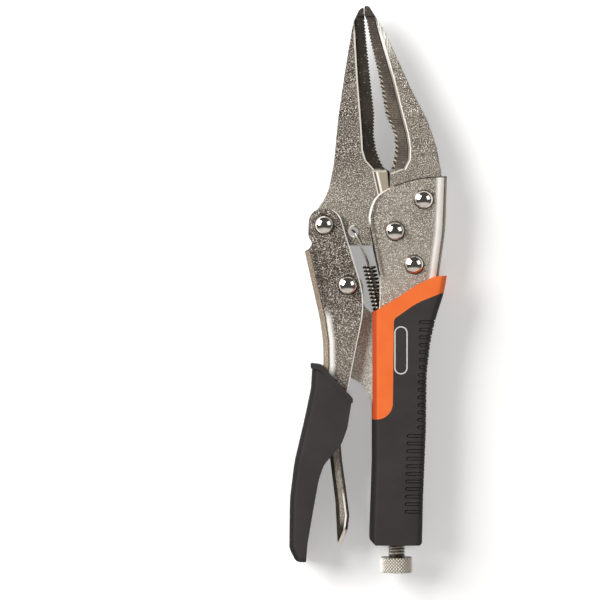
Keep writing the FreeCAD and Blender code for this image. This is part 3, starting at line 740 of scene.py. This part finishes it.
# %% [markdown]
# ## Working as with the hands
#
# New pieces are made with the tools of Edit Mode.  Each tool acts on what is selected, so a
# few helpers do the careful part: leave nothing selected, choose corners, edges or faces by
# where they are, and put the finished piece's place into its mesh.

# %% Helpers for Edit Mode
def pick(piece):
    """Selects one piece alone, in Object Mode."""
    leave_all()
    piece.select_set(True)
    bpy.context.view_layer.objects.active = piece


def edit(piece):
    """Opens one piece in Edit Mode, with nothing else selected."""
    pick(piece)
    bpy.ops.object.mode_set(mode="EDIT")


def choose(piece, kind, test):
    """Selects each corner, edge or face whose middle, in mm from the pivot, passes the test."""
    edit(piece)
    bpy.ops.mesh.select_mode(type=kind)
    bpy.ops.mesh.select_all(action="DESELECT")
    bpy.ops.object.mode_set(mode="OBJECT")
    mesh = piece.data
    corners = [(piece.matrix_world @ corner.co - PIVOT) / MM for corner in mesh.vertices]
    found = 0
    items = {"VERT": mesh.vertices, "EDGE": mesh.edges, "FACE": mesh.polygons}[kind]
    for item in items:
        places = [corners[item.index]] if kind == "VERT" else [corners[i] for i in item.vertices]
        middle = sum(places, Vector()) / len(places)
        if test(middle, item, places):
            item.select = True
            found += 1
    bpy.ops.object.mode_set(mode="EDIT")
    return found


def trace(name, points):
    """Draws a face with a pen: one corner is pulled out again and again along the points."""
    leave_all()
    bpy.ops.mesh.primitive_plane_add(size=MM, location=points[0])
    piece = bpy.context.object
    piece.name = name
    bpy.ops.object.mode_set(mode="EDIT")
    bpy.ops.mesh.select_mode(type="VERT")
    bpy.ops.mesh.select_all(action="SELECT")
    bpy.ops.mesh.merge(type="CENTER")
    for start, end in zip(points, points[1:]):
        bpy.ops.mesh.extrude_vertices_move(TRANSFORM_OT_translate={"value": end - start})
    bpy.ops.mesh.select_all(action="SELECT")
    bpy.ops.mesh.edge_face_add()
    return piece


def pull(way):
    """Pulls the selected faces out along a direction, in millimetres."""
    bpy.ops.mesh.extrude_region_move(TRANSFORM_OT_translate={"value": Vector(way) * MM})


def apply_all(piece):
    """Applies the modifiers and puts the place, turn and scale into the mesh."""
    pick(piece)
    for modifier in list(piece.modifiers):
        bpy.ops.object.modifier_apply(modifier=modifier.name)
    bpy.ops.object.transform_apply(location=True, rotation=True, scale=True)


def clean(piece, sharp=35.0):
    """Merges doubles, turns the faces outwards and smooths all but sharp edges."""
    edit(piece)
    bpy.ops.mesh.select_all(action="SELECT")
    bpy.ops.mesh.remove_doubles(threshold=1e-6)
    bpy.ops.mesh.normals_make_consistent(inside=False)
    bpy.ops.object.mode_set(mode="OBJECT")
    bpy.ops.object.shade_smooth_by_angle(angle=math.radians(sharp))


def copy_of(node, name):
    """A merged copy of a CAD node's mesh, free of its body, to be worked on."""
    made = nodes[node].copy()
    made.data = nodes[node].data.copy()
    made.name = name
    made.parent = None
    made.matrix_world = Matrix.Identity(4)
    bpy.context.scene.collection.objects.link(made)
    pick(made)
    bpy.ops.mesh.customdata_custom_splitnormals_clear()
    clean(made)
    return made


def twin(piece, move):
    """A copy with its own mesh, moved by millimetres."""
    pick(piece)
    bpy.ops.object.duplicate(linked=False)
    bpy.ops.transform.translate(value=Vector(move) * MM)
    return bpy.context.object


def together(pieces):
    """Joins pieces into the first one."""
    leave_all()
    for piece in pieces:
        piece.select_set(True)
    bpy.context.view_layer.objects.active = pieces[0]
    bpy.ops.object.join()
    return pieces[0]


def carve(piece, cutter):
    """Cuts one piece with another, which is then thrown away."""
    cut = piece.modifiers.new("cut", "BOOLEAN")
    cut.operation = "DIFFERENCE"
    cut.solver = "EXACT"
    cut.object = cutter
    pick(piece)
    bpy.ops.object.modifier_apply(modifier=cut.name)
    bpy.data.objects.remove(cutter)


def dress(piece, material, body, slot, *replaced):
    """Gives a finished piece its material and its body, and hides the CAD nodes it replaces; the
    slot is not used.
    """
    piece.data.materials.clear()
    piece.data.materials.append(material)
    if body:
        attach(piece, body)
    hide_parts(*replaced)
    size = [round(value / MM, 1) for value in piece.dimensions]
    print(piece.name, "triangles", sum(len(p.vertices) - 2 for p in piece.data.polygons), size)


# %% [markdown]
# ## Rubber
#
# The grips are moulded in two colours of the same soft rubber.  Moulded rubber is matt, with
# a fine tooth from the mould and a few paler scuffs where a hand rubs it.  The orange keeps
# its colour even in the shade, because it is dyed through.  Their side walls are painted
# darker: painted shade.

# %% Rubber in black and in orange
def rubber(name, deep, plain, scuffed, side_wall_shade, rough, both=False):
    """Dyed rubber with painted shade on its side walls: the left one, or both."""
    material, wire = blank(name)
    place = spot(wire)
    tooth = noise(place, 0.22, 2.0)
    cloud = noise(place, 14.0, 4.0).rise(0.3, 0.7)
    scuff = noise(place, 2.5, 6.0, 0.7).rise(0.60, 0.74)
    facing = wire.node("ShaderNodeTexCoord", output="Normal").parts()[0]
    # The side walls, the left one or both, are painted darker: painted shade.
    wall_shade = (abs(facing) if both else -facing).rise(0.10, 0.55)
    colour = (scuff * 0.35).mix(cloud.mix(deep, plain), scuffed)
    return close(
        material, wire,
        Base_Color=wall_shade.mix(colour, side_wall_shade),
        Roughness=rough + tooth * 0.12 - scuff * 0.06,
        Specular_IOR_Level=0.2,
        Normal=bump(tooth, 0.05),
    )


# The last colour of each rubber is the painted shade of its side walls.
BLACKS = [paint(code) for code in ("343130", "3A3635", "4A4644", "141111")]
black_dyed = rubber("black_dyed_rubber", *BLACKS, 0.62)
# The lever's copy paints shade on both side walls.
lever_dyed = rubber("lever_dyed_rubber", *BLACKS, 0.62, both=True)
orange_dyed = rubber("orange_dyed_rubber", paint("EA6C30"), paint("EE7436"), paint("F28248"),
                     paint("A23A0C"), 0.55)

# %% [markdown]
# ## Grip slots
#
# Sweaty hands slip, so the mould leaves slots in the rubber: eleven long ones near the end,
# and short ones above them that wrap round the back and notch its outline.  Each slot is
# one band in the shape of a C, which goes over the face, round the back and under.  The
# band is drawn once, its ends are rounded with a bevel, and copies of it are stretched to
# length and cut out of the sleeve together.

# %% One C-shaped band
GRIP_FACE = 9.4
SLOT_DEPTH = 0.38
SLOT_WIDTH = 1.6
TONGUE_WIDTH = 0.7
BAND_LENGTH = 8.0
BACK_PAST = 2.5
TONGUE_PAST = 3.2
SIDE_PAST = 12.0
SHORTEST_SLOT = 3.6
EDGE_ROUND = 2.6
BACK_LINE = [(-24.4, 19.6), (-34.6, 16.3), (-43.7, 14.2), (-57.0, 12.6), (-79.6, 12.3),
             (-106.0, 11.2), (-125.7, 10.7)]


def back_of_grip(height):
    """How far across the back of the fixed grip stands, at a height along it."""
    for (above, first), (below, second) in zip(BACK_LINE, BACK_LINE[1:]):
        if height >= below:
            return first + (second - first) * (above - height) / (above - below)
    return BACK_LINE[-1][1]


def c_band(height, back):
    """The band that cuts one slot, at this height, round a back that stands at this place."""
    floor = GRIP_FACE - SLOT_DEPTH
    turn = EDGE_ROUND - SLOT_DEPTH
    left = back - BAND_LENGTH
    inner = [(left, floor)]
    for sign in (1, -1):
        for step in range(7):
            angle = math.radians(90 * (1 - step / 6) if sign > 0 else -15 * step)
            inner.append((back - EDGE_ROUND + turn * math.cos(angle),
                          sign * (floor - turn) + turn * math.sin(angle)))
    inner.append((left, -floor))
    right = back + BACK_PAST
    outer = [(left, -SIDE_PAST), (right, -SIDE_PAST), (right, SIDE_PAST), (left, SIDE_PAST)]
    low = height - SLOT_WIDTH / 2
    band = trace("slot_band", [at(across, low, up) for across, up in inner + outer])
    pull((0, SLOT_WIDTH, 0))
    choose(band, "EDGE", lambda middle, edge, ends: (
        abs(middle.x - left) < 0.01 and abs(ends[0].y - ends[1].y) < 0.01))
    bpy.ops.mesh.bevel(offset=SLOT_WIDTH * 0.49 * MM, segments=6)
    clean(band)
    return band


def tongue_block():
    """A bar with one round end, as long as a band, that leaves a tongue along a slot."""
    left = -BAND_LENGTH
    low = -TONGUE_WIDTH / 2
    high = TONGUE_WIDTH / 2
    under = -SIDE_PAST - 1
    block = trace("tongue", [at(left, low, under), at(0, low, under), at(0, high, under),
                             at(left, high, under)])
    pull((0, 0, -2 * under))
    choose(block, "EDGE", lambda middle, edge, ends: (
        abs(middle.x - left) < 0.01 and abs(middle.z) < 0.01))
    bpy.ops.mesh.bevel(offset=TONGUE_WIDTH * 0.49 * MM, segments=4)
    clean(block)
    return block


first_band = c_band(0.0, 0.0)
first_tongue = tongue_block()
print("band corners", len(first_band.data.vertices), "and", len(first_tongue.data.vertices))

# %% All the slots of the fixed grip: each has its height, and the place of its left end
LONG_SLOTS = [(-81.9 - 3.03 * i, 4.5 - 0.085 * i) for i in range(11)]
SHORT_SLOTS = [(-36.5 - 3.0 * i, 9.4) for i in range(15)]


def stretched(first, height, left, right):
    """A copy of a bar that ends at 0, moved to a height and pulled out from left to right."""
    bar = twin(first, (right, height, 0))
    choose(bar, "VERT", lambda middle, corner, places: middle.x < right - BAND_LENGTH / 2)
    bpy.ops.transform.translate(value=(MM * (left - right + BAND_LENGTH), 0, 0))
    leave_all()
    return bar


black_grip = copy_of("handle_grip_black", "black_grip")
bands = []
for height, start in SHORT_SLOTS + LONG_SLOTS:
    back = back_of_grip(height)
    start = min(start, back - SHORTEST_SLOT)
    bands.append(stretched(first_band, height, start, back))
    groove = (SLOT_WIDTH - TONGUE_WIDTH) / 2
    carve(bands[-1], stretched(first_tongue, height, start + groove, back + TONGUE_PAST))
for used in (first_band, first_tongue):
    bpy.data.objects.remove(used)
carve(black_grip, together(bands))
print("slots", len(SHORT_SLOTS) + len(LONG_SLOTS))

# %% [markdown]
# ## Badge place
#
# A pale ring in the shape of a running track marks where a maker would put a badge.  The
# ring is its own inlaid piece, and inside it the rubber stays bare.  It starts as a disc,
# one half of which is moved up and the other down; then it is inset, opened and given its
# depth.  The same shape, started above the face, cuts the groove that holds it.  Last, the
# two corners at the grip's lower end are cut off with bisect.

# %% The pale ring and its groove
BADGE = (2.2, -47.7)
BADGE_WIDTH = 5.4
BADGE_LENGTH = 19.3
RING_WIDTH = 0.55
RING_SINK = 0.02
RING_DEPTH = 0.48
CUTTER_RISE = 0.4


def track_ring(name, top, depth):
    """A ring in the shape of a running track, from its top down through its depth."""
    leave_all()
    bpy.ops.mesh.primitive_circle_add(vertices=64, radius=BADGE_WIDTH / 2 * MM,
                                      fill_type="NGON", location=at(*BADGE, top))
    ring = bpy.context.object
    ring.name = name
    half = (BADGE_LENGTH - BADGE_WIDTH) / 2
    for way in (1, -1):
        choose(ring, "VERT", lambda middle, corner, places: (
            (middle.y - BADGE[1]) * way > -0.01 * (way > 0)))
        bpy.ops.transform.translate(value=(0, way * half * MM, 0))
        leave_all()
    edit(ring)
    bpy.ops.mesh.select_all(action="SELECT")
    bpy.ops.mesh.inset(thickness=RING_WIDTH * MM, use_outset=False)
    bpy.ops.mesh.delete(type="FACE")
    bpy.ops.mesh.select_all(action="SELECT")
    pull((0, 0, -depth))
    leave_all()
    clean(ring)
    apply_all(ring)
    return ring


carve(black_grip, track_ring("ring_groove", GRIP_FACE + CUTTER_RISE,
                             CUTTER_RISE + RING_SINK + RING_DEPTH))
badge_rim = track_ring("badge_rim", GRIP_FACE - RING_SINK, RING_DEPTH)

# %% The cut corners at the grip's lower end, and both pieces in their places
GRIP_END = -125.7
CORNER_CUTS = ((-7.9, (-1.9, -2.0, 0)), (9.8, (1.1, -0.9, 0)))
edit(black_grip)
for across, away in CORNER_CUTS:
    bpy.ops.mesh.select_all(action="SELECT")
    bpy.ops.mesh.bisect(plane_co=at(across, GRIP_END, 0), plane_no=away, use_fill=True,
                        clear_outer=True)
leave_all()

material, wire = blank("pale_inlay")
speck = noise(spot(wire), 0.6, 3.0)
pale_inlay = close(material, wire, Base_Color=speck.mix(grey(0.52), grey(0.66)), Roughness=0.5,
                   Normal=bump(speck, 0.03))
dress(badge_rim, pale_inlay, "handle", None)
clean(black_grip)
dress(black_grip, black_dyed, "handle", "black_rubber", "handle_grip_black")

# %% [markdown]
# ## The other sleeves
#
# The orange band and the sleeve on the closing lever have no slots: they come out of the
# mould smooth.  Their CAD faces are joined into one skin and shaded softly, so that only the
# real edges stay sharp.

# %% Orange band and lever sleeve
orange_grip = copy_of("handle_grip_orange", "orange_grip")
dress(orange_grip, orange_dyed, "handle", "orange_rubber", "handle_grip_orange")
lever_sleeve = copy_of("lever_grip", "lever_sleeve")
dress(lever_sleeve, lever_dyed, "lever", "black_rubber", "lever_grip")

# %% [markdown]
# ## Return spring
#
# The spring is one wire: a hook that drops through the hole in the jaw, a straight run, the
# close coil, and an eye round the pin in the frame.  A curve with a round section is that
# wire.  Its path is drawn as a smooth spline through these runs, and then made a mesh.

# %% The wire's path
WIRE_R = 0.46
COIL_R = 2.3
TURNS = 11.5
STEPS_PER_TURN = 20
COIL_TOP = Vector((-10.4, -13.7, 1.0))
COIL_BOTTOM = Vector((-6.3, -31.2, 1.0))
ANCHOR = Vector((-2.4, -39.5, 1.0))
EYE_R = 1.8

along = (COIL_BOTTOM - COIL_TOP).normalized()
across = along.cross(Vector((0, 0, 1)))
path = [Vector(p) for p in (
    (-17.0, 0.5, -1.8), (-16.7, 0.3, -0.4), (-16.3, -0.1, 1.5), (-16.1, -0.5, 3.6),
    (-15.9, -0.9, 4.9), (-15.3, -2.2, 5.25), (-13.4, -6.4, 5.2), (-11.6, -10.6, 4.6),
)]
for step in range(int(TURNS * STEPS_PER_TURN) + 1):
    turn = 2 * math.pi * step / STEPS_PER_TURN
    share = step / (TURNS * STEPS_PER_TURN)
    centre = COIL_TOP.lerp(COIL_BOTTOM, share)
    path.append(centre + (Vector((0, 0, 1)) * math.cos(turn) + across * math.sin(turn)) * COIL_R)
path += [Vector((-5.2, -33.2, -1.0)), Vector((-4.6, -35.0, 0.2)), Vector((-4.4, -37.0, 1.0))]
for step in range(13):
    turn = math.radians(180 + 27 * step)
    path.append(ANCHOR + Vector((math.cos(turn), math.sin(turn), 0)) * EYE_R
                + Vector((0, 0, 0.07 * step - 0.4)))

leave_all()
bpy.ops.curve.primitive_nurbs_path_add()
spring = bpy.context.object
spring.name = "coil_spring"
spring.location = (0, 0, 0)
wire_line = spring.data.splines[0]
wire_line.points.add(len(path) - len(wire_line.points))
for point, place in zip(wire_line.points, path):
    point.co = (*at(*place), 1.0)
wire_line.order_u = 4
wire_line.use_endpoint_u = True
wire_line.resolution_u = 3
spring.data.bevel_depth = WIRE_R * MM
spring.data.bevel_resolution = 3
spring.data.use_fill_caps = True
bpy.ops.object.convert(target="MESH")
spring = bpy.context.object
clean(spring, 60.0)
print("spring turns", TURNS, "corners", len(spring.data.vertices))

# %% Spring finish: black coil, bare and bright at the straight run
material, wire = blank("spring_wire")
place = spot(wire)
height = place.parts()[1]
bare = height.rise(-12.5, -9.5)
skin = noise(place, 0.5, 3.0)
spring_wire = close(
    material, wire,
    Base_Color=bare.mix(skin.mix(paint("6E665D"), paint("A39A8E")), paint("D8CFC2")),
    Metallic=1.0,
    Roughness=0.10 + skin * 0.10 + bare * 0.2,
    Normal=bump(skin, 0.03),
)
dress(spring, spring_wire, None, "spring_steel", "return_spring")
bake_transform(spring)

# %% [markdown]
# ## Adjusting screw
#
# A thread is one small triangle that climbs round a rod.  Blender's Screw modifier carries
# an outline round an axis and lifts it by one pitch each turn, which is just how a thread
# is cut.  The rod inside it is a cylinder with a bevelled tip and a thinner stub for the
# knob.

# %% Rod and thread
SCREW_X = 0.7
SCREW_R = 3.5
ROOT_R = 3.02
PITCH = 1.25
SCREW_TIP = -82.1
THREAD_TOP = -108.0
KNOB_TOP = -131.0
STUB_R = 2.3
STUB_END = -135.9
TIP_CHAMFER = 0.9
RIDGE_SINK = 0.12
RIDGE_TOP = 0.12
RIDGE_FOOT = 0.56


def rod(name, radius, top, end, sides=48):
    """A cylinder along the screw's axis, from one height down to another."""
    leave_all()
    bpy.ops.mesh.primitive_cylinder_add(
        vertices=sides, radius=radius * MM, depth=(top - end) * MM,
        location=at(SCREW_X, (top + end) / 2, 0), rotation=(math.radians(90), 0, 0))
    made = bpy.context.object
    made.name = name
    bpy.ops.object.transform_apply(location=True, rotation=True, scale=True)
    return made


screw = rod("threaded_rod", SCREW_R, SCREW_TIP, THREAD_TOP)
choose(screw, "FACE", lambda middle, face, places: abs(middle.y - SCREW_TIP) < 0.01)
bpy.ops.mesh.bevel(offset=TIP_CHAMFER * MM, segments=3)
choose(screw, "FACE", lambda middle, face, places: (
    abs(middle.y - THREAD_TOP) < 0.01 and len(places) > 4))
bpy.ops.mesh.inset(thickness=(SCREW_R - ROOT_R) * MM)
pull((0, KNOB_TOP + 0.1 - THREAD_TOP, 0))
bpy.ops.mesh.inset(thickness=(ROOT_R - STUB_R) * MM)
pull((0, STUB_END - KNOB_TOP - 0.1, 0))
leave_all()

start = KNOB_TOP + 0.75
turns = int((THREAD_TOP - start) / PITCH)
foot = SCREW_X + ROOT_R - RIDGE_SINK
crest = SCREW_X + SCREW_R
ridge = trace("thread", [at(foot, start - RIDGE_FOOT), at(crest, start - RIDGE_TOP),
                         at(crest, start + RIDGE_TOP), at(foot, start + RIDGE_FOOT)])
bpy.ops.mesh.delete(type="ONLY_FACE")
pick(ridge)
bpy.context.scene.cursor.location = at(SCREW_X, start, 0)
bpy.ops.object.origin_set(type="ORIGIN_CURSOR")
climb = ridge.modifiers.new("climb", "SCREW")
climb.axis = "Y"
climb.angle = math.radians(360)
climb.screw_offset = PITCH * MM
climb.iterations = turns
climb.steps = 40
climb.render_steps = 40
apply_all(ridge)
for end in (start, start + turns * PITCH):
    choose(ridge, "VERT", lambda middle, corner, places: (
        abs(middle.y - end) < 0.6 and abs(middle.z) < 0.01 and middle.x > SCREW_X))
    bpy.ops.mesh.edge_face_add()
leave_all()
screw = together([screw, ridge])
clean(screw, 30.0)
bpy.context.scene.cursor.location = (0, 0, 0)
print("thread turns", turns, "corners", len(screw.data.vertices))

# %% [markdown]
# ## Knurled knob
#
# A knurl is two sets of grooves that cross, which leaves small diamonds that bite into a
# finger.  The knob starts as a cylinder that is sliced into rings with bisect.  Every other
# corner of the grid is then pushed in, in a checker pattern, and the quads are split along
# their short diagonals: what stays is a field of pyramids.

# %% Knob
KNOB_R = 6.6
KNOB_END = -137.1
KNURL_DEPTH = 0.5
ROUND_SIDES = 60
ROWS = 8
RIM = 0.4
STUB_GAP = 0.06

knob = rod("knurled_knob", KNOB_R, KNOB_TOP, KNOB_END, ROUND_SIDES)
row_height = (KNOB_TOP - KNOB_END - 2 * RIM) / ROWS
heights = [KNOB_END + RIM + row_height * i for i in range(ROWS + 1)]
edit(knob)
for height in heights:
    bpy.ops.mesh.select_all(action="SELECT")
    bpy.ops.mesh.bisect(plane_co=at(SCREW_X, height, 0), plane_no=(0, 1, 0))
for end in (KNOB_TOP, KNOB_END):
    choose(knob, "VERT", lambda middle, corner, places: abs(middle.y - end) < 0.01)
    bpy.ops.transform.resize(value=(1 - RIM / KNOB_R, 1, 1 - RIM / KNOB_R),
                             center_override=at(SCREW_X, end, 0))


def in_valley(middle, corner, places):
    """True for every other corner of the grid, in a checker pattern."""
    row = round((middle.y - heights[0]) / row_height)
    angle = math.atan2(middle.z, middle.x - SCREW_X)
    column = round(angle / (2 * math.pi / ROUND_SIDES))
    inside = heights[0] - 0.05 < middle.y < heights[-1] + 0.05
    return inside and (row + column) % 2 == 0


valleys = choose(knob, "VERT", in_valley)
bpy.ops.transform.resize(value=(1 - KNURL_DEPTH / KNOB_R, 1, 1 - KNURL_DEPTH / KNOB_R),
                         center_override=at(SCREW_X, KNOB_TOP, 0))
choose(knob, "FACE", lambda middle, face, places: len(places) == 4)
bpy.ops.mesh.quads_convert_to_tris(quad_method="SHORTEST_DIAGONAL")
choose(knob, "FACE", lambda middle, face, places: (
    abs(middle.y - KNOB_TOP) < 0.01 and len(places) > 4))
bpy.ops.mesh.inset(thickness=(KNOB_R - RIM - STUB_R - STUB_GAP) * MM)
pull((0, STUB_END - STUB_GAP - KNOB_TOP, 0))
leave_all()
clean(knob, 12.0)
print("knurl valleys", valleys)

# %% [markdown]
# ## Screw finish
#
# The screw and its knob are plated in a warmer nickel than the frame.  The root of the
# thread and the hollows between the diamonds are painted darker, painted shade in the
# grooves, and the crests carry random bright specks, painted highlights: the distance from
# the axis says how deep a point lies.

# %% Warm nickel, dark in its grooves
def turned_nickel(name, low, high, groove_shade_colour, worn):
    """Plating painted darker below a radius, in millimetres from the screw's axis: painted shade
    in the grooves.
    """
    material, wire = blank(name)
    place = spot(wire)
    x, y, z = place.parts()
    radius = (x - SCREW_X).sum("SQRT", (x - SCREW_X) * (x - SCREW_X) + z * z)
    # Below the radius the colour is painted darker, painted shade; the random bright specks are
    # painted highlights.
    raised = radius.rise(low, high)
    speck = noise(place, 0.9, 2.0).rise(0.35, 0.62)
    colour = raised.mix(groove_shade_colour, speck.mix(worn, paint("FFFBF2")))
    return close(material, wire, Base_Color=colour, Metallic=0.15,
                 Roughness=0.24 + speck * 0.14, Normal=bump(speck, 0.05))


thread_nickel = turned_nickel("thread_nickel", 3.0, 3.3, paint("3A2E22"), paint("BFB09C"))
dress(screw, thread_nickel, "screw", "screw_nickel", "adjusting_screw")
knob_nickel = turned_nickel("knob_nickel", 6.1, 6.36, paint("332A20"), paint("FFF3E1"))
dress(knob, knob_nickel, "knob", "screw_nickel", "screw_knob")
